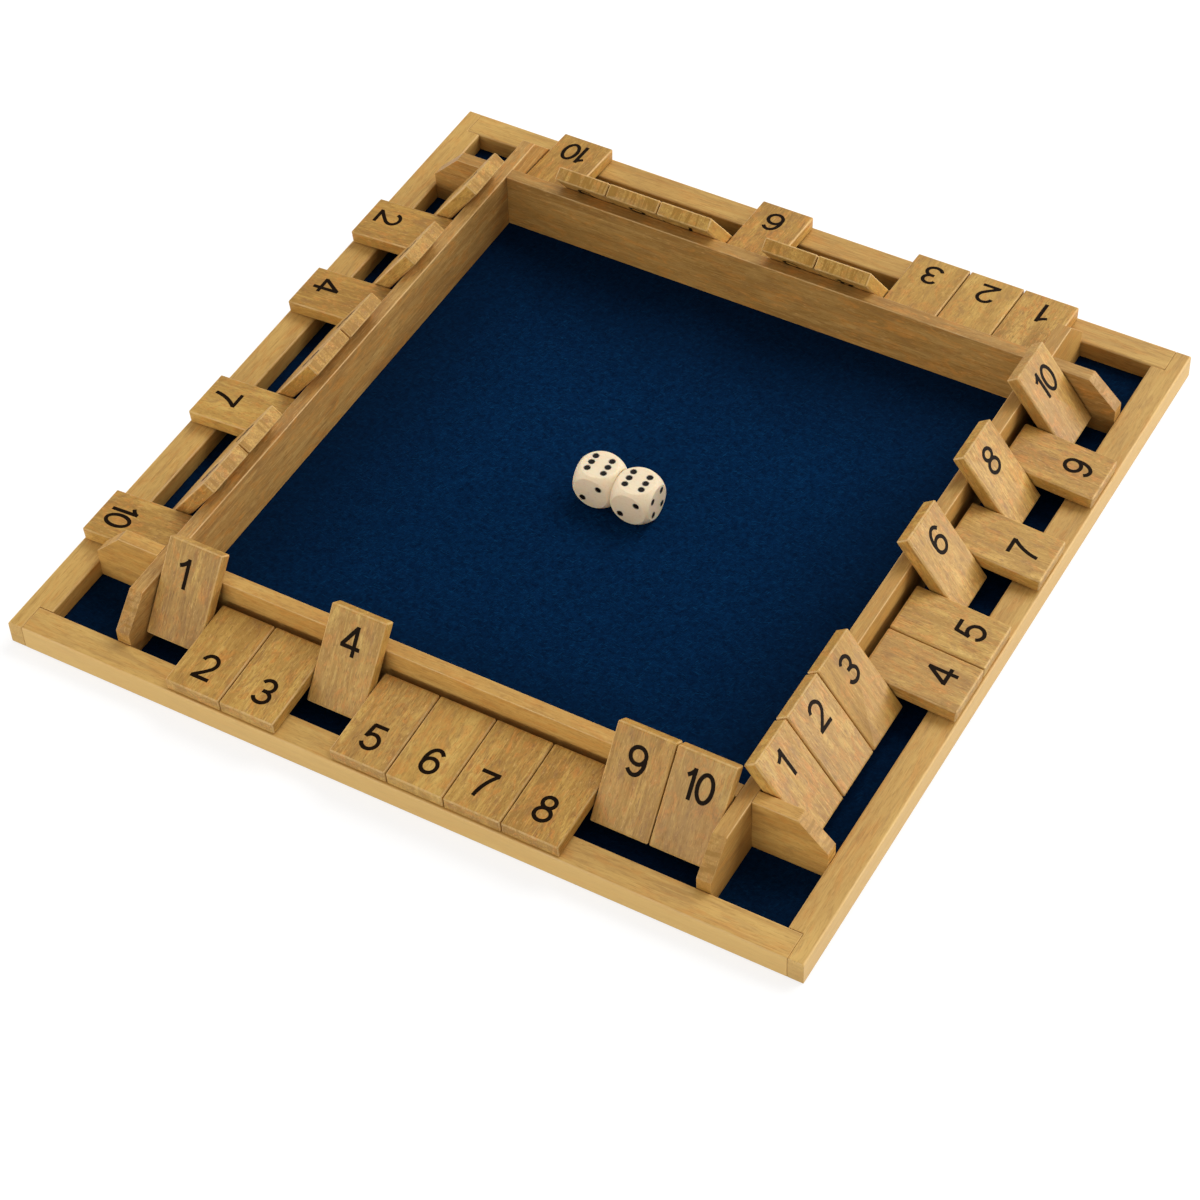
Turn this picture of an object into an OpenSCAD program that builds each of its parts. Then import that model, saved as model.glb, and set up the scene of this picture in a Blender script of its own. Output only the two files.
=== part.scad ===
// Four-player shut the box game.
//
// A square board with a low outer frame. Four taller rails cross inside it like
// an egg crate: between the crossings they wall the dice tray, and beyond them
// their chamfered ends are the cheeks that carry a rod along each side. Ten
// number tiles swing on each rod, from lying out over the frame to leaning in
// on the rail. The origin is the middle of the underside, +Z is up, and the
// sides are named as one player sees them: front is -Y and right is +X.

/* [Board] */
// Width and depth of the square board over its outer frame
board_w = 320; // [290:1:360]
// Thickness of the base panel
base_t = 2; // [1.6:0.1:3]
// Thickness of the playing felt
felt_t = 0.6; // [0.4:0.1:1]

/* [Outer frame] */
// Width of an outer frame bar
frame_w = 11.6; // [11:0.2:15]
// Height of the frame's top above the table
frame_h = 10; // [8:0.5:11]
// Width of the rebate under a bar that takes the edge of the base panel
rebate_w = 5; // [3:0.5:5]
// Width of the tongue that a side bar carries on past each corner
corner_tongue = 6; // [4:0.2:6]
// Chamfer along the top edges of the frame
frame_ease = 0.5; // [0.3:0.1:1]

/* [Rails] */
// Clear width of the channel between a rail and the outer frame
channel_w = 28.6; // [26:0.2:34]
// Thickness of a rail
rail_t = 5.6; // [5:0.2:8]
// Height of a rail above the felt
rail_h = 24; // [22:0.5:27]
// Length of the 45 degree chamfer on each rail end
end_chamfer = 11.5; // [8:0.5:13]
// Chamfer along the top edges of a rail
rail_ease = 0.3; // [0.2:0.1:0.8]

/* [Number tiles] */
// Length of a tile from its hinge end to its free end
tile_len = 37; // [35:0.5:39]
// Thickness of a tile
tile_t = 5.6; // [5:0.2:6.4]
// Chamfer round the edges of a tile
tile_ease = 0.5; // [0.3:0.1:0.9]
// Distance from a tile's hinge end to its rod
hinge_inset = 9.6; // [8:0.2:10.4]
// Air between the swinging hinge end and the rail
swing_gap = 2.2; // [1:0.1:3]
// Air between the swinging hinge end and the felt
floor_gap = 2.4; // [1.5:0.1:3]
// Gap between two tiles of a row
tile_gap = 0.4; // [0.3:0.1:0.8]
// Least gap between the last tile of a row and its cheek
end_gap = 0.5; // [0.3:0.1:1]

/* [Rods] */
// Diameter of a rod
rod_d = 2.5; // [2:0.1:3]
// Radial clearance of a tile's bore on its rod
rod_clearance = 0.08; // [0.05:0.01:0.1]
// Depth of a rod's seat in each cheek
rod_seat = 3; // [2:0.2:4]

/* [Dice] */
// Width of a die over its flats
die_w = 16; // [14:0.5:19]
// Share of a die's half width that the round of each flat reaches
die_flat = 0.87; // [0.8:0.01:0.95]
// Distance between two neighbouring pips
pip_pitch = 3.4; // [3:0.1:3.8]
// Diameter of a pip
pip_d = 2.3; // [1.8:0.1:2.6]
// Depth of the drilled recess of a pip
pip_depth = 0.25; // [0.1:0.05:0.5]
// Gap between the two dice
dice_gap = 0.3; // [0.3:0.1:20]
// Turn of the dice on the felt
dice_turn = 1.3; // [0:0.1:3]

/* [Fits] */
// Air left where a piece rests on another at the end of its travel
rest_gap = 0.2; // [0.1:0.05:0.3]
// Glue line between two fixed pieces of wood
glue_gap = 0.05; // [0:0.01:0.1]

/* [Hidden] */
$fn = 64;
SIDES = ["front", "right", "far", "left"];
TILES = 10;
// How each side's row stands at rest, from tile 1 to tile 10: U is up, d is down
ROWS = ["UddUddddUU", "UUUddUdUdU", "dddUUdUUUd", "UdUdUUdUUd"];
function tile_name(side, number) =
    str("tile_", SIDES[side], number < 10 ? "_0" : "_", number);

wood = "#C79F62";
tile_wood = "#BE9157";
felt_blue = "#08264E";
rod_steel = "#A9A9A6";
die_wood = "#EBD2AC";

// Heights above the table
felt_top = base_t + felt_t;
rail_top = felt_top + rail_h;
// Distances out from the middle of the board
half_w = board_w / 2;
frame_in = half_w - frame_w;
rail_out = frame_in - channel_w;
tray_half = rail_out - rail_t;
rail_mid = rail_out - rail_t / 2;
// The hinge end sweeps a circle of this radius round the rod
swing_r = norm([hinge_inset, tile_t / 2]);
rod_out = rail_out + swing_gap + swing_r;
rod_h = felt_top + floor_gap + swing_r;
reach = tile_len - hinge_inset;
// Angle past upright at which a raised tile's inner face meets the rail's edge
rail_dx = rod_out - rail_out;
rail_dz = rail_top - rail_ease - rod_h;
lean = acos((tile_t / 2 + rest_gap) / norm([rail_dx, rail_dz])) - atan2(rail_dz, rail_dx);
// Angle below level at which a lowered tile's outer edge meets the frame's top
edge_reach = reach - tile_ease;
dip = asin((rod_h - frame_h - rest_gap) / norm([edge_reach, tile_t / 2])) - atan2(tile_t / 2, edge_reach);
// A row ends short of its cheeks, and short of the tips of the next side's
// leaning tiles, which come close to it at the corners of the tray
tip_in = rod_out - edge_reach * sin(lean) - (tile_t / 2 - tile_ease) * cos(lean);
row_half = min(tray_half - end_gap, tip_in - tile_gap / 2);
tile_pitch = (2 * row_half + tile_gap) / TILES;
tile_w = tile_pitch - tile_gap;
// The dice lie side by side near the middle, one a little nearer the front
die_ball_d = die_w * norm([1, die_flat]);
pair_place = [2, -1.2];
pair_slip = 0.6;

// Places a shape drawn for the front side on any of the four sides
module on_side(side) rotate(90 * side) children();

// A bar's outline laid along X, with its outer face at -Y
module along_x(length) rotate([90, 0, 90]) linear_extrude(length, center = true) children();

// A rectangle with its corners cut at 45 degrees
module eased_rect(w, h, ease) {
    x = w / 2;
    y = h / 2;
    polygon([
        [-x + ease, -y], [x - ease, -y], [x, -y + ease], [x, y - ease],
        [x - ease, y], [-x + ease, y], [-x, y - ease], [-x, -y + ease],
    ]);
}

// A rectangular block with all its edges chamfered
module eased_block(size, ease) {
    long = 2 * max(size);
    intersection() {
        linear_extrude(long, center = true) eased_rect(size[0], size[1], ease);
        rotate([90, 0, 0]) linear_extrude(long, center = true) eased_rect(size[0], size[2], ease);
        rotate([0, 90, 0]) linear_extrude(long, center = true) eased_rect(size[2], size[1], ease);
    }
}

// The base panel lies in the rebates under the frame bars
module base_board() {
    w = 2 * (frame_in + rebate_w - glue_gap);
    color("#B98F57") translate([-w / 2, -w / 2, 0]) cube([w, w, base_t]);
}

// One sheet of felt covers the panel, and the rails stand on it
module playing_felt() {
    w = 2 * (frame_in - glue_gap);
    color(felt_blue) translate([-w / 2, -w / 2, base_t]) cube([w, w, felt_t]);
}

// Cross-section of a frame bar: eased on top, rebated below on its inner side
module bar_outline() {
    polygon([
        [0, 0], [frame_w - rebate_w, 0], [frame_w - rebate_w, base_t], [frame_w, base_t],
        [frame_w, frame_h - frame_ease], [frame_w - frame_ease, frame_h],
        [frame_ease, frame_h], [0, frame_h - frame_ease],
    ]);
}

// A front or far bar sits between the tongues of the side bars
module end_bar(side) {
    length = 2 * (half_w - corner_tongue - glue_gap);
    color(wood) on_side(side) translate([0, -half_w, 0]) along_x(length) bar_outline();
}

// A side bar runs the full depth, cut back at its ends to a tongue for the end bars
module side_bar(side) {
    color(wood) on_side(side) difference() {
        translate([0, -half_w, 0]) along_x(board_w) bar_outline();
        for (end = [-1, 1]) translate([end * half_w, -half_w, 0]) {
            translate([0, corner_tongue + frame_w, 0])
                cube([2 * (frame_w + glue_gap), 2 * frame_w, 3 * frame_h], center = true);
            // the tongue's end carries on the chamfer along the end bar
            translate([0, 0, frame_h]) rotate([0, 45, 0])
                cube([frame_ease * sqrt(2), 2 * frame_w, frame_ease * sqrt(2)], center = true);
        }
    }
}

// Elevation of a rail, with both ends chamfered down towards the frame
module rail_outline() {
    x = frame_in - glue_gap;
    polygon([
        [-x, felt_top], [x, felt_top], [x, rail_top - end_chamfer], [x - end_chamfer, rail_top],
        [-x + end_chamfer, rail_top], [-x, rail_top - end_chamfer],
    ]);
}

// A rail with its two cross laps, cut from the top or from below, and the blind
// seats of the two rods that run to the rail on the opposite side
module rail(side, lap_on_top) {
    lap_h = rail_h / 2;
    color(wood) on_side(side) translate([0, -rail_mid, 0]) difference() {
        intersection() {
            rotate([90, 0, 0]) linear_extrude(rail_t, center = true) rail_outline();
            translate([0, 0, rail_top / 2]) along_x(board_w) rail_section();
        }
        for (end = [-1, 1]) {
            translate([end * rail_mid, 0, lap_on_top ? rail_top : felt_top])
                cube([rail_t + 2 * glue_gap, 2 * rail_t, 2 * lap_h + glue_gap], center = true);
            translate([end * rod_out, rail_t / 2 - rod_seat, rod_h]) rotate([-90, 0, 0])
                cylinder(d = rod_d + 2 * glue_gap, h = 2 * rod_seat);
        }
    }
}

// Cross-section of a rail, eased along both top edges
module rail_section() {
    y = rail_t / 2;
    z = rail_top / 2;
    polygon([
        [-y, -z], [y, -z], [y, z - rail_ease], [y - rail_ease, z],
        [-y + rail_ease, z], [-y, z - rail_ease],
    ]);
}

// A rod spans its channel and ends in the cheeks
module rod(side) {
    length = 2 * (tray_half + rod_seat - rest_gap);
    color(rod_steel) on_side(side) translate([0, -rod_out, rod_h])
        rotate([0, 90, 0]) cylinder(d = rod_d, h = length, center = true);
}

// A tile about its rod: level and pointing out at 0 degrees, upright at -90
module tile_body() {
    difference() {
        translate([0, hinge_inset - tile_len / 2, 0]) eased_block([tile_w, tile_len, tile_t], tile_ease);
        rotate([0, 90, 0]) cylinder(r = rod_d / 2 + rod_clearance, h = 2 * tile_w, center = true);
    }
}

module number_tile(side, number) {
    up = ROWS[side][number - 1] == "U";
    color(tile_wood) on_side(side)
        translate([(number - (TILES + 1) / 2) * tile_pitch, -rod_out, rod_h])
            rotate([up ? -90 - lean : dip, 0, 0]) tile_body();
}

// Pip places on a face, in steps of the pip pitch
function pips(n) =
    n == 1 ? [[0, 0]] :
    n == 2 ? [[-1, -1], [1, 1]] :
    n == 3 ? concat(pips(1), pips(2)) :
    n == 4 ? concat(pips(2), [[-1, 1], [1, -1]]) :
    n == 5 ? concat(pips(1), pips(4)) : concat(pips(4), [[-1, 0], [1, 0]]);

// A die: a cube whose corners a ball rounds off, with drilled pips
module die(place) {
    faces = [
        [6, [0, 0, 0]], [1, [180, 0, 0]], [2, [90, 0, 0]],
        [5, [-90, 0, 0]], [4, [0, 90, 0]], [3, [0, -90, 0]],
    ];
    step = (die_w + dice_gap) / 2;
    color(die_wood)
        translate([pair_place[0], pair_place[1], felt_top + rest_gap + die_w / 2]) rotate(dice_turn)
            translate([place * step, -place * pair_slip, 0]) difference() {
                intersection() {
                    cube(die_w, center = true);
                    sphere(d = die_ball_d, $fn = 96);
                }
                for (face = faces, p = pips(face[0]))
                    rotate(face[1]) translate([p[0] * pip_pitch, p[1] * pip_pitch, die_w / 2 - pip_depth])
                        cylinder(d = pip_d, h = 2 * pip_depth);
            }
}

module die_left() die(-1);
module die_right() die(1);
module frame_front() end_bar(0);
module frame_right() side_bar(1);
module frame_far() end_bar(2);
module frame_left() side_bar(3);
module rail_front() rail(0, true);
module rail_right() rail(1, false);
module rail_far() rail(2, true);
module rail_left() rail(3, false);
module rod_front() rod(0);
module rod_right() rod(1);
module rod_far() rod(2);
module rod_left() rod(3);

base_board();
playing_felt();
frame_front();
frame_right();
frame_far();
frame_left();
rail_front();
rail_right();
rail_far();
rail_left();
rod_front();
rod_right();
rod_far();
rod_left();
die_left();
die_right();
for (side = [0:3], number = [1:TILES])
    number_tile(side, number);
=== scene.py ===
import bpy
import math
import numpy as np
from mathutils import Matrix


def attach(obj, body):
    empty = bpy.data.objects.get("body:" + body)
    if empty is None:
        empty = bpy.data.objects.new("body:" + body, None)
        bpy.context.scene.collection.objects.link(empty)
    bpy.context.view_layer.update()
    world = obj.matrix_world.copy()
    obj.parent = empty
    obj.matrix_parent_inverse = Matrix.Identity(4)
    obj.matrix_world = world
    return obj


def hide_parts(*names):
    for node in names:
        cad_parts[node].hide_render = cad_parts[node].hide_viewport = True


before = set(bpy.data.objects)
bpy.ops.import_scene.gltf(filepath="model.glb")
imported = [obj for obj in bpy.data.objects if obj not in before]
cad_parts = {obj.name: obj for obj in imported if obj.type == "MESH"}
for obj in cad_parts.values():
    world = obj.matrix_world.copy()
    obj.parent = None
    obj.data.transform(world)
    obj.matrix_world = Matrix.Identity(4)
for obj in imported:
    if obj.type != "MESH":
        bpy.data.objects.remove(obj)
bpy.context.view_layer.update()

# --- Base panel ---------------------------------------------------------------
# A thin sheet of plywood let into the underside of the frame. It is sanded and
# left bare, and its edges never show.


def linear(code):
    """The linear colour of an sRGB hex value."""
    channels = [int(code[i:i + 2], 16) / 255 for i in (1, 3, 5)]
    return [c / 12.92 if c <= 0.04045 else ((c + 0.055) / 1.055) ** 2.4 for c in channels] + [1.0]


def add(tree, kind, sockets=None, **settings):
    """Adds one node: settings go on the node, and each socket takes a value or a link."""
    made = tree.nodes.new(kind)
    for name, value in settings.items():
        setattr(made, name, value)
    for key, value in (sockets or {}).items():
        if isinstance(value, bpy.types.NodeSocket):
            tree.links.new(value, made.inputs[key])
        else:
            made.inputs[key].default_value = value
    return made


def new_material(name):
    """An empty material with a Principled shader, its tree and the shader."""
    material = bpy.data.materials.new(name)
    material.use_nodes = True
    tree = material.node_tree
    tree.nodes.clear()
    shader = add(tree, "ShaderNodeBsdfPrincipled")
    output = add(tree, "ShaderNodeOutputMaterial")
    tree.links.new(shader.outputs["BSDF"], output.inputs["Surface"])
    return material, tree, shader


MM = 0.001

# Each layer of the figure: millimetres across and along the grain, detail, roughness and warp
# of its noise, the values where it starts and is full, how strongly it then covers, its tone
FIGURE = (
    (11.0, 80.0, 3, 0.55, 1.2, 0.40, 0.64, 0.95, "dark"),
    (8.0, 36.0, 3, 0.55, 1.4, 0.50, 0.30, 0.90, "light"),
    (5.5, 10.0, 4, 0.62, 1.8, 0.46, 0.67, 0.82, "#CC8A3E"),
    (4.5, 11.0, 4, 0.60, 1.6, 0.49, 0.69, 0.66, "#93693A"),
    (1.1, 22.0, 4, 0.66, 0.7, 0.46, 0.66, 0.60, "dark"),
    (0.85, 12.0, 3, 0.62, 0.6, 0.50, 0.70, 0.62, "light"),
    (0.9, 2.2, 3, 0.66, 0.9, 0.50, 0.66, 0.52, "#A0702C"),
    (0.36, 2.4, 2, 0.55, 0.0, 0.56, 0.68, 0.50, "#7C5523"),
    (0.5, 2.0, 2, 0.55, 0.6, 0.58, 0.72, 0.45, "#E2B670"),
)


def wood(name, centre, turn, grain, tones, seed, strength=1.0, sloped=0.0, lit_outside=None,
         ringed=2, ends=0.9, stretch=1.0):
    """Planed wood under a thin satin lacquer: the lacquer gives a soft sheen, and the grain runs
    along one axis of the piece as slow bands, warmer and greyer clouds, fine streaks and short
    pores. Cut across, it closes up to brown rings and specks, and eased arrises are painted paler,
    as a painted highlight.
    centre and turn place the piece's own axes, grain is the axis that the grain runs along, tones
    are the dark, middle and light colours, and seed gives each piece a figure of its own, as strong
    as strength says. sloped is 1 on a piece whose ends are cut at 45 degrees, the colour given as
    outside is painted on the face on the piece's own -Y side, lighter, as painted light for the
    light that falls there, the growth rings follow one another along the axis ringed, ends is how
    brown they show on the cut ends, and stretch is how much longer the figure runs than on a short
    piece."""
    material, tree, shader = new_material(name)
    at = add(tree, "ShaderNodeTexCoord")
    placed = add(tree, "ShaderNodeMapping", {
        "Vector": at.outputs["Object"], "Location": centre, "Rotation": turn,
        "Scale": (MM, MM, MM)}, vector_type="TEXTURE")
    facing = add(tree, "ShaderNodeMapping", {
        "Vector": at.outputs["Normal"], "Rotation": turn}, vector_type="TEXTURE")
    named = {"dark": tones[0], "light": tones[2]}
    colour = linear(tones[1])
    noises = []
    for order, layer in enumerate(FIGURE):
        across, along, detail, rough, warp, start, full, most, tone = layer
        scale = [1 / across] * 3
        scale[grain] = 1 / (along * stretch)
        drawn = add(tree, "ShaderNodeVectorMath", {
            0: placed.outputs[0], 1: scale}, operation="MULTIPLY")
        noise = add(tree, "ShaderNodeTexNoise", {
            "Vector": drawn.outputs[0], "W": seed * 7.3 + order * 1.7, "Scale": 1.0,
            "Detail": detail, "Roughness": rough, "Distortion": warp}, noise_dimensions="4D")
        cover = add(tree, "ShaderNodeMapRange", {
            "Value": noise.outputs["Fac"], "From Min": start, "From Max": full,
            "To Max": most * strength}, interpolation_type="SMOOTHSTEP")
        colour = add(tree, "ShaderNodeMix", {
            0: cover.outputs[0], 6: colour, 7: linear(named.get(tone, tone))},
            data_type="RGBA").outputs[2]
        noises.append(noise)
    greyer, streaks, specks, pores = noises[3], noises[4], noises[6], noises[7]

    # how squarely the surface faces along each axis of the piece, from 0 to 1
    parts = add(tree, "ShaderNodeSeparateXYZ", {0: facing.outputs[0]})
    square = [add(tree, "ShaderNodeMath", {0: part}, operation="ABSOLUTE")
              for part in parts.outputs]

    # growth rings about 2 mm apart, and specks, on wood cut across the grain
    scale = [1 / 15.0] * 3
    scale[ringed] = 1 / 1.9
    scale[grain] = 1 / 45.0
    drawn = add(tree, "ShaderNodeVectorMath", {
        0: placed.outputs[0], 1: scale}, operation="MULTIPLY")
    rings = add(tree, "ShaderNodeTexNoise", {
        "Vector": drawn.outputs[0], "W": seed * 3.1, "Scale": 1.0, "Detail": 2.0,
        "Distortion": 0.5}, noise_dimensions="4D")
    band = add(tree, "ShaderNodeMapRange", {
        "Value": rings.outputs["Fac"], "From Min": 0.48, "From Max": 0.60, "To Max": ends},
        interpolation_type="SMOOTHSTEP")
    speck = add(tree, "ShaderNodeMapRange", {
        "Value": specks.outputs["Fac"], "From Min": 0.45, "From Max": 0.7, "To Max": 0.45 * ends},
        interpolation_type="SMOOTHSTEP")
    cut = add(tree, "ShaderNodeMapRange", {
        "Value": square[grain].outputs[0], "From Min": 0.5, "From Max": 0.72},
        interpolation_type="SMOOTHSTEP")
    either = add(tree, "ShaderNodeMath", {
        0: band.outputs[0], 1: speck.outputs[0]}, operation="MAXIMUM")
    browned = add(tree, "ShaderNodeMath", {
        0: either.outputs[0], 1: cut.outputs[0]}, operation="MULTIPLY")
    colour = add(tree, "ShaderNodeMix", {
        0: browned.outputs[0], 6: colour, 7: linear("#976D26")}, data_type="RGBA").outputs[2]

    if lit_outside:
        # painted light: the face on the piece's own -Y side is painted in the lighter outside
        # colour, and the ends of the piece take it too, at half its strength
        end = add(tree, "ShaderNodeMath", {
            0: square[grain].outputs[0], 1: -0.72}, operation="MULTIPLY")
        outer = add(tree, "ShaderNodeMath", {
            0: parts.outputs[1], 1: end.outputs[0]}, operation="MINIMUM")
        side = add(tree, "ShaderNodeMapRange", {
            "Value": outer.outputs[0], "From Min": -0.55, "From Max": -0.9, "To Max": 0.65})
        colour = add(tree, "ShaderNodeMix", {
            0: side.outputs[0], 6: colour, 7: linear(lit_outside)}, data_type="RGBA").outputs[2]

    # an arris faces between the axes; a sloped end does too, but isn't one, and there the grain
    # axis and Z together come to the square root of 2
    plain = add(tree, "ShaderNodeMath", {
        0: square[0].outputs[0], 1: square[1].outputs[0]}, operation="MAXIMUM")
    plain = add(tree, "ShaderNodeMath", {
        0: plain.outputs[0], 1: square[2].outputs[0]}, operation="MAXIMUM")
    slope = add(tree, "ShaderNodeMath", {
        0: square[grain].outputs[0], 1: square[2].outputs[0]}, operation="ADD")
    slope = add(tree, "ShaderNodeMath", {
        0: slope.outputs[0], 1: 0.7071 * sloped}, operation="MULTIPLY")
    plain = add(tree, "ShaderNodeMath", {
        0: plain.outputs[0], 1: slope.outputs[0]}, operation="MAXIMUM")
    arris = add(tree, "ShaderNodeMapRange", {
        "Value": plain.outputs[0], "From Min": 0.97, "From Max": 0.82},
        interpolation_type="SMOOTHSTEP")
    # a painted highlight: the arrises are painted pale cream, more strongly in patches
    patchy = add(tree, "ShaderNodeMapRange", {
        "Value": greyer.outputs["Fac"], "From Min": 0.35, "From Max": 0.65,
        "To Min": 0.16, "To Max": 0.68})
    pale = add(tree, "ShaderNodeMath", {
        0: arris.outputs[0], 1: patchy.outputs[0]}, operation="MULTIPLY")
    colour = add(tree, "ShaderNodeMix", {
        0: pale.outputs[0], 6: colour, 7: linear("#E2BD80")}, data_type="RGBA").outputs[2]
    tree.links.new(colour, shader.inputs["Base Color"])

    satin = add(tree, "ShaderNodeMapRange", {
        "Value": streaks.outputs["Fac"], "From Min": 0.3, "From Max": 0.7,
        "To Min": 0.42, "To Max": 0.56})
    tree.links.new(satin.outputs[0], shader.inputs["Roughness"])
    relief = add(tree, "ShaderNodeMath", {
        0: streaks.outputs["Fac"], 1: pores.outputs["Fac"]}, operation="SUBTRACT")
    bump = add(tree, "ShaderNodeBump", {
        "Strength": 0.7, "Distance": 0.09 * MM, "Height": relief.outputs[0]})
    tree.links.new(bump.outputs[0], shader.inputs["Normal"])
    shader.inputs["Specular IOR Level"].default_value = 0.26
    shader.inputs["Coat Weight"].default_value = 0.06
    shader.inputs["Coat Roughness"].default_value = 0.30
    return material


def dress(node, material, round_edge=0.28):
    """Gives a CAD piece its material and its hand-eased arrises, so many millimetres wide."""
    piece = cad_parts[node]
    piece.data.materials.clear()
    piece.data.materials.append(material)
    weld = piece.modifiers.new("weld", "WELD")
    weld.merge_threshold = 0.002 * MM
    bevel = piece.modifiers.new("eased", "BEVEL")
    bevel.width, bevel.segments, bevel.limit_method = round_edge * MM, 2, "ANGLE"
    bevel.angle_limit, bevel.use_clamp_overlap = math.radians(28), False
    return piece


dress("base_board", wood("bare_plywood", (0, 0, 0), (0, 0, 0), 0,
                         ("#A27A45", "#B38951", "#C39B61"), 1, 0.8), 0.1)

# --- Outer frame --------------------------------------------------------------
# Four bars of a light hardwood stained honey brown, glued round the base. The
# side bars run through at the corners as a tongue, and the end bars butt
# against it, so each corner shows one fine glue line.

BAR_MIDDLE = 154.2 * MM
FRAME_TONES = ("#B98D4A", "#CEA55B", "#E0BA6C")
# the outer face of each bar is painted lighter, most so on the front and right bars: painted light
# for the light that falls on those faces
FRAME_LIT_OUTSIDES = ("#E9C178", "#E6BF7B", "#DDB46C", "#DDB46C")
for side, name in enumerate(("front", "right", "far", "left")):
    quarter = side * math.pi / 2
    middle = (BAR_MIDDLE * math.sin(quarter), -BAR_MIDDLE * math.cos(quarter), 0)
    dress("frame_" + name, wood(
        "honey_frame_" + name, middle, (0, 0, quarter), 0, FRAME_TONES, 10 + side,
        strength=0.55, lit_outside=FRAME_LIT_OUTSIDES[side], ends=0.3, stretch=2.4))

# --- Felt ---------------------------------------------------------------------
# One sheet of dark navy wool felt, 0.6 mm thick, glued over the whole base. Its
# short fibres lie in every direction, so the surface is matt and slightly
# cloudy, with a few paler hairs.

FELT_HALF, FELT_LOW, FELT_HIGH, NAP_DEEP = 148.3 * MM, 2.0 * MM, 2.56 * MM, 0.08 * MM
rng = np.random.default_rng(4)


def smooth_noise(cells, size):
    """Random heights on a coarse grid of cells, blended onto a fine one of size x size: at the
    share t of the way between two coarse points, the further one counts t squared (3 - 2t)."""
    coarse = rng.random((cells + 1, cells + 1))
    at = np.linspace(0, cells, size)
    low = np.minimum(at.astype(int), cells - 1)
    part = (at - low) ** 2 * (3 - 2 * (at - low))
    rows = coarse[low] * (1 - part[:, None]) + coarse[low + 1] * part[:, None]
    return rows[:, low] * (1 - part) + rows[:, low + 1] * part


def closed_grid(name, top, low):
    """A slab whose top is the grid of points and whose underside is the same grid laid flat at
    the height low, with a wall of quads round the edge."""
    count_a, count_b = top.shape[:2]
    bottom = top.copy()
    bottom[..., 2] = low
    index = np.arange(count_a * count_b).reshape(count_a, count_b)
    quads = np.stack([index[:-1, :-1], index[1:, :-1], index[1:, 1:], index[:-1, 1:]], -1)
    quads = quads.reshape(-1, 4)
    rim = np.concatenate([index[:, 0], index[-1, 1:], index[-2::-1, -1], index[0, -2:0:-1]])
    under = rim + index.size
    wall = np.stack([rim, under, np.roll(under, -1), np.roll(rim, -1)], -1)
    faces = np.concatenate([quads, quads[:, ::-1] + index.size, wall])
    mesh = bpy.data.meshes.new(name)
    points = np.concatenate([top.reshape(-1, 3), bottom.reshape(-1, 3)])
    mesh.from_pydata(points.tolist(), [], faces.tolist())
    piece = bpy.data.objects.new(name, mesh)
    bpy.context.scene.collection.objects.link(piece)
    return piece


FELT_POINTS = 200
line = np.linspace(-FELT_HALF, FELT_HALF, FELT_POINTS)
grid_x, grid_y = np.meshgrid(line, line, indexing="ij")
nap = 0.6 * smooth_noise(66, FELT_POINTS) + 0.4 * smooth_noise(130, FELT_POINTS)
surface = np.stack([grid_x, grid_y, FELT_HIGH - NAP_DEEP * nap], -1)
felt = closed_grid("felt_sheet", surface, FELT_LOW)
felt.data.polygons.foreach_set("use_smooth", [True] * len(felt.data.polygons))

# wool fibres scatter light, so the felt has no shine; real ones are 0.02 mm thick, and they are
# drawn 0.3 mm wide and 3 mm long, to show at all
felt_cloth, tree, shader = new_material("navy_wool_felt")
at = add(tree, "ShaderNodeTexCoord")
lint = 0.0
for order, angle in enumerate((0.52, 1.25, -0.15)):
    laid = add(tree, "ShaderNodeMapping", {
        "Vector": at.outputs["Object"], "Rotation": (0, 0, -angle)})
    drawn = add(tree, "ShaderNodeVectorMath", {
        0: laid.outputs[0], 1: (330, 2900, 900)}, operation="MULTIPLY")
    fibre = add(tree, "ShaderNodeTexNoise", {
        "Vector": drawn.outputs[0], "W": order * 5.0, "Scale": 1.0, "Detail": 3.0,
        "Roughness": 0.65}, noise_dimensions="4D")
    lint = add(tree, "ShaderNodeMath", {
        0: lint, 1: fibre.outputs["Fac"]}, operation="MAXIMUM").outputs[0]
fleck = add(tree, "ShaderNodeMapRange", {
    "Value": lint, "From Min": 0.56, "From Max": 0.75}, interpolation_type="SMOOTHSTEP")
cloud = add(tree, "ShaderNodeTexNoise", {
    "Vector": at.outputs["Object"], "Scale": 600.0, "Detail": 5.0, "Roughness": 0.7})
ground = add(tree, "ShaderNodeMapRange", {
    "Value": cloud.outputs["Fac"], "From Min": 0.33, "From Max": 0.68})
cloudy = add(tree, "ShaderNodeMix", {
    0: ground.outputs[0], 6: linear("#001531"), 7: linear("#02284E")}, data_type="RGBA")
flecked = add(tree, "ShaderNodeMix", {
    0: fleck.outputs[0], 6: cloudy.outputs[2], 7: linear("#0A4069")}, data_type="RGBA")
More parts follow.
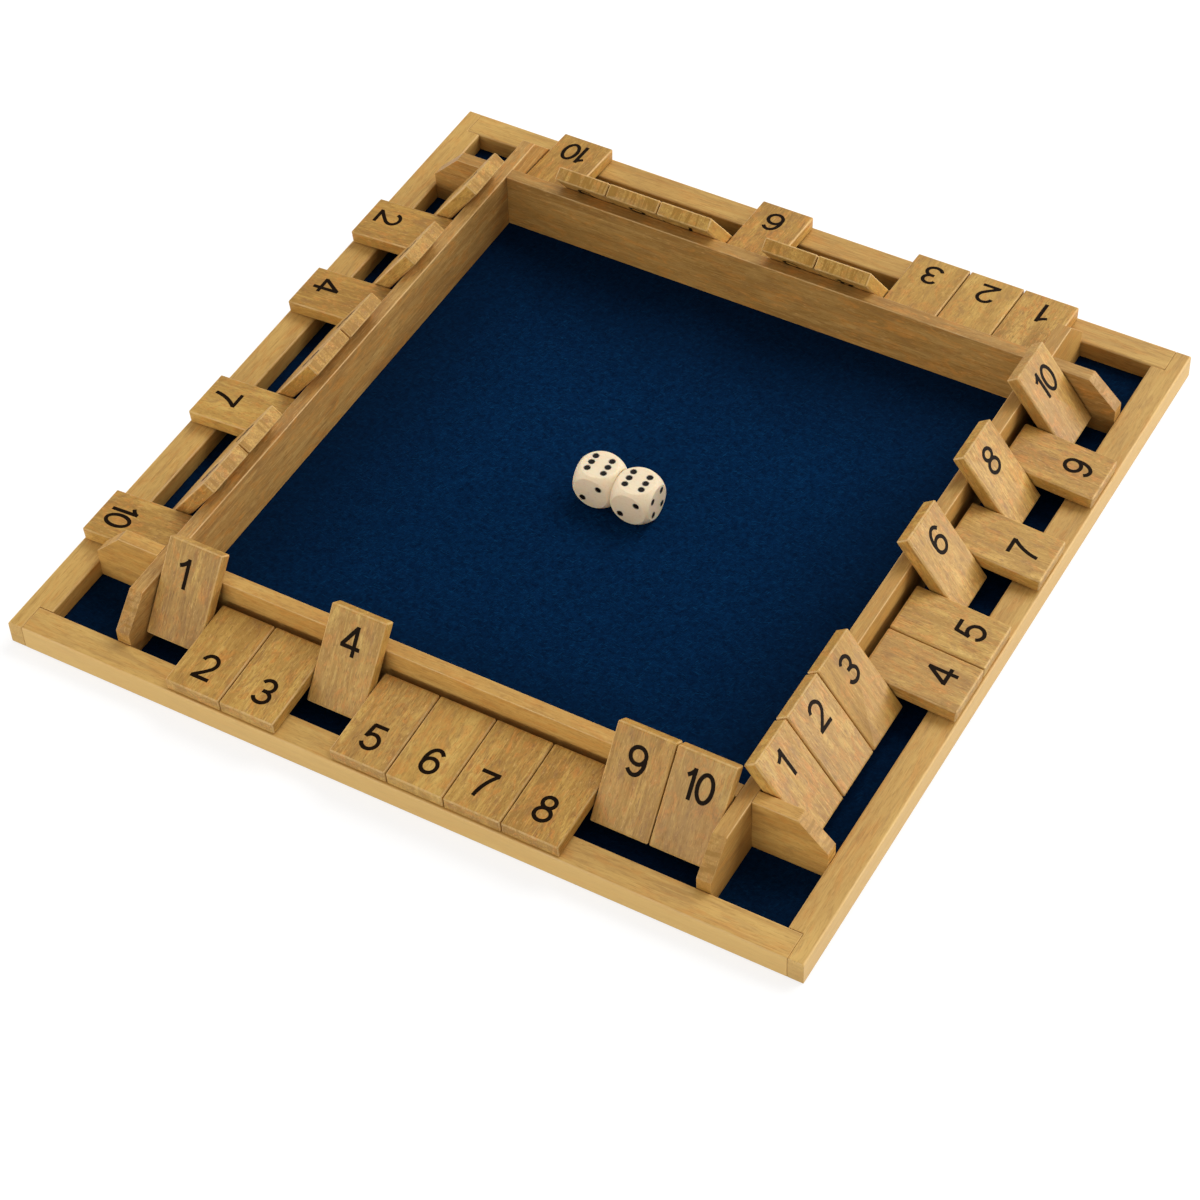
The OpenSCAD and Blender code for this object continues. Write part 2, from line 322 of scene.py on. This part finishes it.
# painted shade: the felt is painted darker towards the rails, for their shadow, outwards from
# a square a little in front of the middle
UNSHADED_FRONT, UNSHADED_HALF, TRAY_HALF = 12 * MM, 50 * MM, 114 * MM
aside = add(tree, "ShaderNodeSeparateXYZ", {0: at.outputs["Object"]})
far_x = add(tree, "ShaderNodeMath", {0: aside.outputs[0]}, operation="ABSOLUTE")
behind = add(tree, "ShaderNodeMath", {0: aside.outputs[1], 1: UNSHADED_FRONT}, operation="ADD")
far_y = add(tree, "ShaderNodeMath", {0: behind.outputs[0]}, operation="ABSOLUTE")
widest = add(tree, "ShaderNodeMath", {
    0: far_x.outputs[0], 1: far_y.outputs[0]}, operation="MAXIMUM")
rail_shade = add(tree, "ShaderNodeMapRange", {
    "Value": widest.outputs[0], "From Min": UNSHADED_HALF, "From Max": TRAY_HALF, "To Max": 0.55},
    interpolation_type="SMOOTHSTEP")
# the painted shade colour, near black
shaded = add(tree, "ShaderNodeMix", {
    0: rail_shade.outputs[0], 6: flecked.outputs[2], 7: linear("#010E20")}, data_type="RGBA")
tree.links.new(shaded.outputs[2], shader.inputs["Base Color"])
shader.inputs["Roughness"].default_value = 0.95
shader.inputs["Specular IOR Level"].default_value = 0.04
rough = add(tree, "ShaderNodeBump", {"Strength": 0.8, "Distance": 0.12 * MM, "Height": lint})
tree.links.new(rough.outputs[0], shader.inputs["Normal"])
felt.data.materials.append(felt_cloth)
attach(felt, "board")
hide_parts("playing_felt")

# --- Rails --------------------------------------------------------------------
# Four rails of the same wood, halved across one another and glued down on the
# felt. Their chamfered ends are cut across the grain, which shows there as
# brown bands.

RAIL_MIDDLE, RAIL_HALF_UP = 117 * MM, 14.6 * MM
# each rail's dark, middle and light colours: one wood, painted lightest on the front rail and
# darkest on the far one, as painted light and shade
RAIL_SHADED_TONES = (("#B4843F", "#CB9D52", "#DCB365"), ("#A67A3B", "#BB8F4A", "#CEA65C"),
              ("#9A7036", "#B18747", "#C49C5A"), ("#A07640", "#BA9050", "#CDA663"))
# how strongly the figure shows on each rail
RAIL_FIGURE = (0.6, 0.55, 0.85, 0.95)
for side, name in enumerate(("front", "right", "far", "left")):
    quarter = side * math.pi / 2
    middle = (RAIL_MIDDLE * math.sin(quarter), -RAIL_MIDDLE * math.cos(quarter), RAIL_HALF_UP)
    dress("rail_" + name, wood(
        "honey_rail_" + name, middle, (0, 0, quarter), 0, RAIL_SHADED_TONES[side], 20 + side,
        strength=RAIL_FIGURE[side], sloped=1.0, ends=0.7, stretch=1.6), 0.2)

# --- Rods ---------------------------------------------------------------------
# Drawn steel wire, 2.5 mm thick, glued blind into the cheeks. Drawing leaves
# fine lines along it and a soft grey shine.

drawn_steel, tree, shader = new_material("drawn_steel")
at = add(tree, "ShaderNodeTexCoord").outputs["Object"]
drawn = add(tree, "ShaderNodeTexNoise", {"Vector": at, "Scale": 900.0, "Detail": 3.0})
shade = add(tree, "ShaderNodeMapRange", {
    "Value": drawn.outputs["Fac"], "To Min": 0.26, "To Max": 0.42})
grey = add(tree, "ShaderNodeMix", {
    0: drawn.outputs["Fac"], 6: linear("#8E8D8A"), 7: linear("#BDBCB8")}, data_type="RGBA")
tree.links.new(shade.outputs[0], shader.inputs["Roughness"])
tree.links.new(grey.outputs[2], shader.inputs["Base Color"])
shader.inputs["Metallic"].default_value = 1.0
for name in ("front", "right", "far", "left"):
    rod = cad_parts["rod_" + name]
    rod.data.materials.clear()
    rod.data.materials.append(drawn_steel)

# --- Number tiles -------------------------------------------------------------
# Ten tiles a side, sawn from strips of the same wood with the grain along the
# tile, so that no two are quite the same colour, bored near one end and strung
# on the rod.

# how far a raised tile leans in from upright, and how far a lowered one slopes down to the frame
LEAN, DIP = math.radians(36.8), math.radians(4.28)
ROD_OUT, ROD_HIGH, PITCH = 132.0 * MM, 15.0 * MM, 22.78 * MM
TILE_THICK = 5.6 * MM
# how each row stands, from tile 1 to tile 10: U is up and d is down
ROWS = ("UddUddddUU", "UUUddUdUdU", "dddUUdUUUd", "UdUdUUdUUd")
TILE_TONES = (("#A67C38", "#BF9549", "#D6AC5C"), ("#A07634", "#B98E43", "#D0A553"),
              ("#AC823D", "#C49A4C", "#DAB462"), ("#A27A3F", "#BA904A", "#D2AB5C"))
# how brown the cut ends are on each side: brown end grain, painted lighter on the front and right
# rows and browner on the far and left ones, as painted light and shade
TILE_ENDS_SHADED = (0.25, 0.25, 0.75, 0.7)


def turned(axis, angle):
    """The rotation matrix of a turn by angle about one axis: 0 is X, 1 is Y and 2 is Z."""
    i, j = (axis + 1) % 3, (axis + 2) % 3
    turn = np.eye(3)
    turn[i, i] = turn[j, j] = math.cos(angle)
    turn[i, j], turn[j, i] = -math.sin(angle), math.sin(angle)
    return turn


tiles = []
for side, name in enumerate(("front", "right", "far", "left")):
    for number in range(1, 11):
        up = ROWS[side][number - 1] == "U"
        tilt = -math.pi / 2 - LEAN if up else DIP
        turn = turned(2, side * math.pi / 2)
        rod_point = turn @ np.array([(number - 5.5) * PITCH, -ROD_OUT, ROD_HIGH])
        tile = f"tile_{name}_{number:02d}"
        pick = TILE_TONES[rng.integers(len(TILE_TONES))]
        dress(tile, wood(
            f"tile_wood_{name}_{number:02d}", rod_point, (tilt, 0, side * math.pi / 2), 1, pick,
            40 + 10 * side + number, strength=rng.uniform(0.8, 1.2), ringed=0,
            ends=TILE_ENDS_SHADED[side]))
        tiles.append((tile, side, number, rod_point, turn @ turned(0, tilt)))

# --- Numbers ------------------------------------------------------------------
# A black number printed on both faces of every tile, near the free end, so
# that it reads upright for that side's player whether the tile is up or down.
# The ink stands 0.04 mm proud.

INK_WIDE, INK_HIGH, NUMBER_HIGH = 1.5, 0.04, 11.4
# The prints aren't quite in line: how far each number's middle is to the right of its tile's
# middle, and how far from the rod, in millimetres, from tile 1 to tile 10 of each side
PRINT_SIDEWAYS = (
    (-2.2, -0.5, 1.1, -0.1, -0.1, 0.4, -1.3, -0.4, -0.6, 0.2),
    (-0.8, 0.7, 0.9, 1.6, 1.6, 1.0, -0.4, -0.3, 0.5, 0.7),
    (-1.3, 0.1, 0.8, 0.2, 0.4, 1.1, -0.8, -0.3, 0.3, 0.7),
    (-1.6, -1.7, 0.6, -2.3, -0.2, 0.5, -0.9, -0.4, 0.2, 0.3))
PRINT_REACH = (
    (16.1, 16.4, 16.3, 16.9, 16.2, 15.7, 15.9, 15.5, 16.3, 16.3),
    (17.4, 17.5, 17.6, 15.5, 16.0, 16.8, 16.1, 17.0, 16.2, 16.5),
    (17.1, 17.2, 17.2, 16.8, 17.0, 16.7, 17.3, 16.9, 17.2, 17.4),
    (17.3, 17.4, 17.2, 17.3, 17.5, 17.1, 17.7, 17.3, 17.4, 17.4))


def bow(x, y, wide, high, start, end, count=25):
    """Points along an ellipse about (x, y), from one angle to another, in degrees."""
    a = np.radians(np.linspace(start, end, count))
    return np.stack([x + wide * np.cos(a), y + high * np.sin(a)], -1)


def bend(a, b, c, count=12):
    """Points along the parabola from a to c that heads for b."""
    t = np.linspace(0, 1, count)[:, None]
    return (1 - t) ** 2 * np.array(a) + 2 * t * (1 - t) * np.array(b) + t ** 2 * np.array(c)


def dash(a, b):
    """The straight line from a to b."""
    return np.array([a, b], float)


# the strokes of each number, in millimetres, about an upright middle line and up from its foot
SIX = [bow(0.1, 3.75, 2.9, 3.0, 0, 360, 41), bow(0.4, 5.6, 3.25, 5.05, 42, 192)]
STROKES = {
    "1": [dash((1.35, 0), (1.35, 11.4)), bend((1.3, 10.6), (0.1, 8.9), (-2.1, 8.1))],
    "2": [np.concatenate([bow(0.05, 7.75, 2.95, 2.9, 172, -28),
                          bend((2.35, 5.75), (1.1, 4.2), (-2.9, 1.0))]),
          dash((-3.65, 0.75), (3.65, 0.75))],
    "3": [bow(-0.1, 8.2, 2.6, 2.45, 160, -90), bow(-0.1, 3.3, 3.0, 2.55, 90, -165),
          dash((-1.1, 5.8), (0.1, 5.8))],
    "4": [dash((1.55, 0), (1.55, 11.3)), dash((1.4, 10.7), (-3.4, 3.3)),
          dash((-3.9, 3.3), (3.9, 3.3))],
    "5": [dash((-2.2, 10.6), (3.3, 10.6)), dash((-1.85, 10.95), (-2.75, 5.2)),
          bow(-0.1, 3.85, 3.05, 3.1, 150, -160)],
    "6": SIX,
    "7": [dash((-3.6, 10.6), (3.6, 10.6)), bend((3.15, 10.4), (-0.7, 6.2), (-1.35, 0))],
    "8": [bow(0, 8.4, 2.4, 2.25, 0, 360, 33), bow(0, 3.4, 2.95, 2.65, 0, 360, 37)],
    "9": [np.array([0.1, NUMBER_HIGH]) - s for s in SIX],
    "10": [dash((-2.7, 0), (-2.7, 11.4)), bend((-2.75, 10.6), (-3.7, 9.0), (-5.1, 8.3)),
           bow(2.15, 5.7, 2.75, 4.95, 0, 360, 45)],
}


def inked(path, lift):
    """A flat stroke: a rectangle of ink carried along the path, square to it, with closed ends.
    lift sets the height of its top a little apart from the strokes that it crosses."""
    closed = np.allclose(path[0], path[-1])
    line = path[:-1] if closed else path
    if closed:
        run = np.roll(line, -1, 0) - np.roll(line, 1, 0)
    else:
        run = np.gradient(line, axis=0)
    run /= np.linalg.norm(run, axis=1)[:, None]
    out = np.stack([run[:, 1], -run[:, 0]], -1) * INK_WIDE / 2
    count = len(line)
    ring = np.zeros((count, 4, 3))
    ring[:, 0, :2] = ring[:, 3, :2] = line - out
    ring[:, 1, :2] = ring[:, 2, :2] = line + out
    ring[:, 2:, 2] = INK_HIGH + lift
    index = np.arange(count * 4).reshape(count, 4)
    after = np.roll(index, -1, 0) if closed else index[1:]
    before = index if closed else index[:-1]
    faces = [np.stack([before[:, i], after[:, i], after[:, j], before[:, j]], -1)
             for i, j in ((0, 1), (1, 2), (2, 3), (3, 0))]
    if not closed:
        faces += [index[0][None, :], index[-1][None, ::-1]]
    return ring.reshape(-1, 3), np.concatenate(faces)


# printing ink is nearly black and matt, and a little thin in spots about 0.6 mm apart
ink, tree, shader = new_material("black_ink")
at = add(tree, "ShaderNodeTexCoord").outputs["Object"]
patchy = add(tree, "ShaderNodeTexNoise", {
    "Vector": at, "Scale": 1800.0, "Detail": 4.0, "Roughness": 0.7})
thin = add(tree, "ShaderNodeMapRange", {
    "Value": patchy.outputs["Fac"], "From Min": 0.5, "From Max": 0.8})
tone = add(tree, "ShaderNodeMix", {
    0: thin.outputs[0], 6: linear("#160B02"), 7: linear("#261605")}, data_type="RGBA")
matt = add(tree, "ShaderNodeMapRange", {
    "Value": patchy.outputs["Fac"], "To Min": 0.45, "To Max": 0.6})
tree.links.new(tone.outputs[2], shader.inputs["Base Color"])
tree.links.new(matt.outputs[0], shader.inputs["Roughness"])
shader.inputs["Specular IOR Level"].default_value = 0.05

for tile, side, number, rod_point, lay in tiles:
    points, faces, base = [], [], 0
    across, reach = PRINT_SIDEWAYS[side][number - 1], PRINT_REACH[side][number - 1]
    for flip in (False, True):
        # the tile's own +Z face is on top when it is down, and faces the tray when it is up
        for order, path in enumerate(STROKES[str(number)]):
            ring, quads = inked(path - np.array([0, NUMBER_HIGH / 2]), 0.004 * order)
            if flip:
                # on the other face the top of the number is towards the free end
                ring = ring * [1, -1, -1] + [across, -reach, -TILE_THICK / 2 / MM]
            else:
                ring = ring + [across, -reach, TILE_THICK / 2 / MM]
            points.append(ring)
            faces.append(quads + base)
            base += len(ring)
    placed = np.concatenate(points) * MM @ lay.T + rod_point
    mesh = bpy.data.meshes.new("number_" + tile[5:])
    mesh.from_pydata(placed.tolist(), [], np.concatenate(faces).tolist())
    figure = bpy.data.objects.new("number_" + tile[5:], mesh)
    bpy.context.scene.collection.objects.link(figure)
    mesh.materials.append(ink)
    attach(figure, tile)

# --- Dice ---------------------------------------------------------------------
# Two 16 mm dice turned from pale beech, with drilled pips painted black. The
# wood is left nearly bare, so it is pale and matt, with fine short flecks.

# sizes of the dice are in millimetres: the middle of the pair on the felt, how far each die's
# middle is from it, along the row and across, and the radius and height of a pip's paint, seen in
# section: over the floor of the hole, up its wall and 0.2 mm over its rim
DIE_WIDE, PIP_STEP, DICE_TURN = 16.0, 3.4, math.radians(1.3)
PAIR_MIDDLE, ROW_APART, ROW_SHIFT = (2.0, -1.2, 2.8 + DIE_WIDE / 2), 8.15, -0.6
POOL_TOP, POOL_LOW = -0.17, -0.246
FILM = np.array([(0.85, -0.165), (1.08, -0.12), (1.20, -0.02), (1.26, 0.012), (1.33, 0.012),
                 (1.35, -0.01), (1.25, -0.08), (1.149, -0.20), (1.12, -0.246)])
# the pips of each face, and the turns about X and Y, in degrees, that carry it there from the top
FACES = ((6, (0, 0)), (1, (180, 0)), (2, (90, 0)), (5, (-90, 0)), (4, (0, 90)), (3, (0, -90)))
SPOTS = {1: [(0, 0)], 2: [(-1, -1), (1, 1)]}
SPOTS[3] = SPOTS[1] + SPOTS[2]
SPOTS[4] = SPOTS[2] + [(-1, 1), (1, -1)]
SPOTS[5] = SPOTS[1] + SPOTS[4]
SPOTS[6] = SPOTS[4] + [(-1, 0), (1, 0)]


def beech(name, centre, seed):
    """Pale beech, sanded fine: an even cream with short brown flecks and faint rings. Bare wood
    lets light in a little way, so the edges of a small piece glow."""
    material, tree, shader = new_material(name)
    at = add(tree, "ShaderNodeTexCoord").outputs["Object"]
    placed = add(tree, "ShaderNodeMapping", {
        "Vector": at, "Location": centre, "Rotation": (0, 0, DICE_TURN),
        "Scale": (MM, MM, MM)}, vector_type="TEXTURE").outputs[0]
    drawn = add(tree, "ShaderNodeVectorMath", {
        0: placed, 1: (0.12, 1.5, 1.5)}, operation="MULTIPLY")
    rings = add(tree, "ShaderNodeTexNoise", {
        "Vector": drawn.outputs[0], "W": seed, "Scale": 1.0, "Detail": 3.0},
        noise_dimensions="4D")
    short = add(tree, "ShaderNodeVectorMath", {
        0: placed, 1: (0.7, 4.5, 4.5)}, operation="MULTIPLY")
    flecks = add(tree, "ShaderNodeTexNoise", {
        "Vector": short.outputs[0], "W": seed + 3.0, "Scale": 1.0, "Detail": 1.0},
        noise_dimensions="4D")
    tone = add(tree, "ShaderNodeMix", {
        0: rings.outputs["Fac"], 6: linear("#F3D9B3"), 7: linear("#FAE8CA")}, data_type="RGBA")
    spot = add(tree, "ShaderNodeMapRange", {
        "Value": flecks.outputs["Fac"], "From Min": 0.58, "From Max": 0.74, "To Max": 0.45})
    done = add(tree, "ShaderNodeMix", {
        0: spot.outputs[0], 6: tone.outputs[2], 7: linear("#D09E70")}, data_type="RGBA")
    tree.links.new(done.outputs[2], shader.inputs["Base Color"])
    bump = add(tree, "ShaderNodeBump", {
        "Strength": 0.3, "Distance": 0.03 * MM, "Height": rings.outputs["Fac"]})
    tree.links.new(bump.outputs[0], shader.inputs["Normal"])
    shader.inputs["Roughness"].default_value = 0.5
    shader.inputs["Subsurface Weight"].default_value = 0.5
    shader.inputs["Subsurface Radius"].default_value = (1.0, 0.6, 0.38)
    shader.inputs["Subsurface Scale"].default_value = 3.0 * MM
    return material


# enamel brushed into the holes is black, with a soft shine where it has pooled
pip_paint, tree, shader = new_material("black_pip_paint")
at = add(tree, "ShaderNodeTexCoord").outputs["Object"]
pool = add(tree, "ShaderNodeTexNoise", {"Vector": at, "Scale": 1500.0, "Detail": 2.0})
tone = add(tree, "ShaderNodeMix", {
    0: pool.outputs["Fac"], 6: linear("#0C0805"), 7: linear("#18100A")}, data_type="RGBA")
tree.links.new(tone.outputs[2], shader.inputs["Base Color"])
shader.inputs["Roughness"].default_value = 0.4
shader.inputs["Specular IOR Level"].default_value = 0.2

rounds = np.linspace(0, 2 * math.pi, 32, endpoint=False)
pair_turn = turned(2, DICE_TURN)
for place, name in ((-1, "left"), (1, "right")):
    centre = (PAIR_MIDDLE + pair_turn @ (place * ROW_APART, place * ROW_SHIFT, 0)) * MM
    dress("die_" + name, beech("beech_" + name, centre, 3.0 + place), 0.09)
    points, faces, base = [], [], 0
    for count, (roll_x, roll_y) in FACES:
        roll = turned(1, math.radians(roll_y)) @ turned(0, math.radians(roll_x))
        for spot in SPOTS[count]:
            # the section is turned round the pip's axis, and closed by two fans at the middle
            ring = np.zeros((len(FILM), len(rounds), 3))
            ring[..., 0] = FILM[:, :1] * np.cos(rounds)
            ring[..., 1] = FILM[:, :1] * np.sin(rounds)
            ring[..., 2] = FILM[:, 1:]
            film = np.concatenate([ring.reshape(-1, 3), [(0, 0, POOL_TOP), (0, 0, POOL_LOW)]])
            film += [spot[0] * PIP_STEP, spot[1] * PIP_STEP, DIE_WIDE / 2]
            index = np.arange(ring[..., 0].size).reshape(len(FILM), len(rounds)) + base
            after = np.roll(index, -1, 1)
            wall = np.stack([index[:-1], index[1:], after[1:], after[:-1]], -1).reshape(-1, 4)
            top, low = base + len(film) - 2, base + len(film) - 1
            points.append(film @ roll.T)
            faces += wall.tolist()
            faces += np.stack([np.full(len(rounds), top), index[0], after[0]], -1).tolist()
            faces += np.stack([np.full(len(rounds), low), after[-1], index[-1]], -1).tolist()
            base += len(film)
    placed = np.concatenate(points) * MM @ pair_turn.T + centre
    mesh = bpy.data.meshes.new("pips_" + name)
    mesh.from_pydata(placed.tolist(), [], faces)
    pips = bpy.data.objects.new("pips_" + name, mesh)
    bpy.context.scene.collection.objects.link(pips)
    mesh.materials.append(pip_paint)
    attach(pips, "die_" + name)

# --- Table, lamps and camera --------------------------------------------------
# A white table in a pale room, with a wide soft lamp over the back of the board
# and low ones at the right, the front and the left. The table glows where the
# camera sees it, so that it looks white and keeps a soft shadow.

TABLE_HALF, TABLE_HIGH = 3.0, -0.2 * MM
table_mesh = bpy.data.meshes.new("table")
table_mesh.from_pydata([
    (-TABLE_HALF, -TABLE_HALF, TABLE_HIGH), (TABLE_HALF, -TABLE_HALF, TABLE_HIGH),
    (TABLE_HALF, TABLE_HALF, TABLE_HIGH), (-TABLE_HALF, TABLE_HALF, TABLE_HIGH)],
    [], [(0, 1, 2, 3)])
table = bpy.data.objects.new("table", table_mesh)
bpy.context.scene.collection.objects.link(table)
white, tree, shader = new_material("white_table")
surface_socket = shader.outputs["BSDF"].links[0].to_socket
shader.inputs["Base Color"].default_value = (0.95, 0.95, 0.95, 1)
shader.inputs["Roughness"].default_value = 0.8
shader.inputs["Specular IOR Level"].default_value = 0.1
ray = add(tree, "ShaderNodeLightPath")
seen = add(tree, "ShaderNodeMath", {
    0: ray.outputs["Is Camera Ray"], 1: ray.outputs["Is Glossy Ray"]}, operation="MAXIMUM")
# away from the lamps the table would look grey, so it glows more there
at = add(tree, "ShaderNodeTexCoord").outputs["Object"]
away = add(tree, "ShaderNodeVectorMath", {0: at}, operation="LENGTH")
share = add(tree, "ShaderNodeMapRange", {
    "Value": away.outputs["Value"], "From Min": 0.3, "From Max": 1.5,
    "To Min": 1.16, "To Max": 1.6})
bright = add(tree, "ShaderNodeMath", {
    0: seen.outputs[0], 1: share.outputs[0]}, operation="MULTIPLY")
glow = add(tree, "ShaderNodeEmission", {"Color": (1, 1, 1, 1), "Strength": bright.outputs[0]})
mixed = add(tree, "ShaderNodeMixShader", {0: 0.62, 1: shader.outputs[0], 2: glow.outputs[0]})
tree.links.new(mixed.outputs[0], surface_socket)
table_mesh.materials.append(white)

world = bpy.data.worlds.new("pale_room")
bpy.context.scene.world = world
world.use_nodes = True
tree = world.node_tree
tree.nodes.clear()
ray = add(tree, "ShaderNodeLightPath")
seen = add(tree, "ShaderNodeMath", {
    0: ray.outputs["Is Camera Ray"], 1: ray.outputs["Is Transmission Ray"]}, operation="MAXIMUM")
level = add(tree, "ShaderNodeMapRange", {"Value": seen.outputs[0], "To Min": 0.42, "To Max": 1.0})
sky = add(tree, "ShaderNodeBackground", {"Color": (1, 1, 1, 1), "Strength": level.outputs[0]})
add(tree, "ShaderNodeOutputWorld", {"Surface": sky.outputs[0]})


def lamp(name, place, aim, wide, high, power):
    """A soft rectangular lamp at place, facing aim, with its power in watts."""
    light = bpy.data.lights.new(name, "AREA")
    light.shape, light.size, light.size_y, light.energy = "RECTANGLE", wide, high, power
    held = bpy.data.objects.new(name, light)
    bpy.context.scene.collection.objects.link(held)
    away = np.array(place, float) - np.array(aim, float)
    away /= np.linalg.norm(away)
    held.location = place
    held.rotation_euler = (math.acos(away[2]), 0, math.atan2(away[0], -away[1]))


lamp("over_back", (0.6, 1.8, 2.3), (0, 0, 0), 2.2, 1.6, 51)
lamp("low_right", (1.5, 0.95, 0.27), (0, 0, 0.02), 1.2, 0.5, 19)
lamp("low_front", (-0.2, -1.7, 0.40), (0, 0, 0.02), 1.4, 0.4, 12.5)
lamp("low_left", (-1.65, -0.2, 0.28), (0, 0, 0.02), 1.2, 0.4, 10)

eye = bpy.data.cameras.new("camera")
eye.sensor_width, eye.lens = 36.0, 97.657
camera = bpy.data.objects.new("camera", eye)
bpy.context.scene.collection.objects.link(camera)
camera.location = (0.43715, -0.71141, 0.87154)
# the columns are the directions to the right of the view, up and back towards the eye
axes = np.array([[0.86828484, -0.34466729, 0.3567715], [0.49451835, 0.65816945, -0.56768352],
                 [-0.03915417, 0.66934105, 0.74192285]])
camera.rotation_euler = (math.atan2(axes[2, 1], axes[2, 2]), -math.asin(axes[2, 0]),
                         math.atan2(axes[1, 0], axes[0, 0]))
bpy.context.scene.camera = camera
bpy.context.scene.view_settings.view_transform = "Standard"
